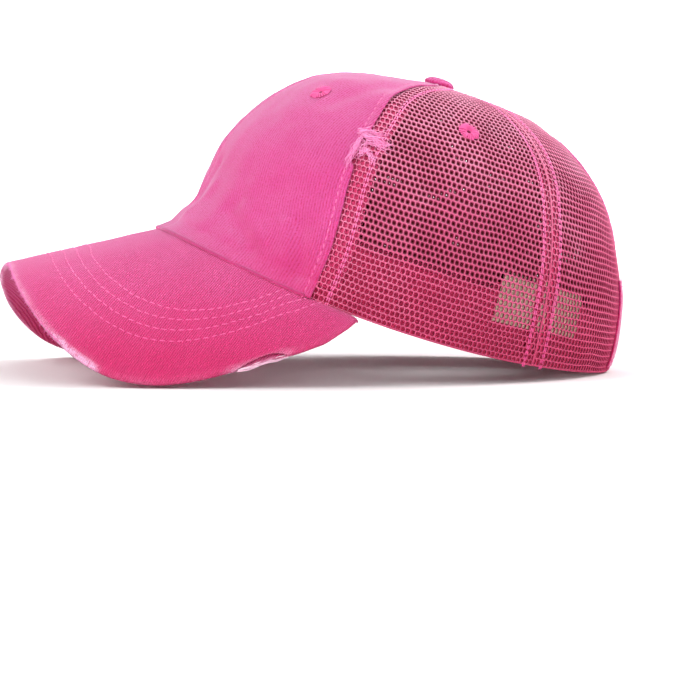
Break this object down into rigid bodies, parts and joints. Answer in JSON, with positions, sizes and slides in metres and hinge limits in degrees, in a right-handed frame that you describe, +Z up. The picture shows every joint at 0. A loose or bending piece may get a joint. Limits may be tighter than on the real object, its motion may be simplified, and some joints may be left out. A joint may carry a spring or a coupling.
{
  "type": "ponytail baseball cap",
  "caption": "Six-panel baseball cap with a worn twill front and curved peak, net sides and back, and a bound hair opening above the back closure.",
  "frame": {"origin": "middle of the bounding box at its base, on the surface that the cap rests on", "axes": "+Z up, the peak points towards -Y, +X is the wearer's left"},
  "size_m": [0.1674, 0.2564, 0.1225],
  "materials": {
    "twill": "washed cotton twill, hot pink, worn pale at the edges",
    "mesh": "open polyester net, hot pink",
    "tape": "plain woven seam tape, deep pink",
    "sweatband": "cotton twill sweatband, deep pink",
    "board": "stiff board inside the peak",
    "thread": "embroidered thread, pale pink",
    "label": "plain woven label, beige, blank"
  },
  "bodies": {
    "root": {"back_mesh_left": "mesh", "back_mesh_right": "mesh", "back_seam_tape_left": "tape", "back_seam_tape_right": "tape", "button": "twill", "closure_tab": "twill", "front_eyelet_left": "thread", "front_eyelet_right": "thread", "front_panel_left": "twill", "front_panel_right": "twill", "front_seam_tape_left": "tape", "front_seam_tape_right": "tape", "label": "label", "opening_binding": "twill", "peak_board": "board", "peak_under_cloth": "twill", "peak_upper_cloth": "twill", "side_eyelet_left": "thread", "side_eyelet_right": "thread", "side_mesh_left": "mesh", "side_mesh_right": "mesh", "sweatband": "sweatband"}
  },
  "joints": []
}
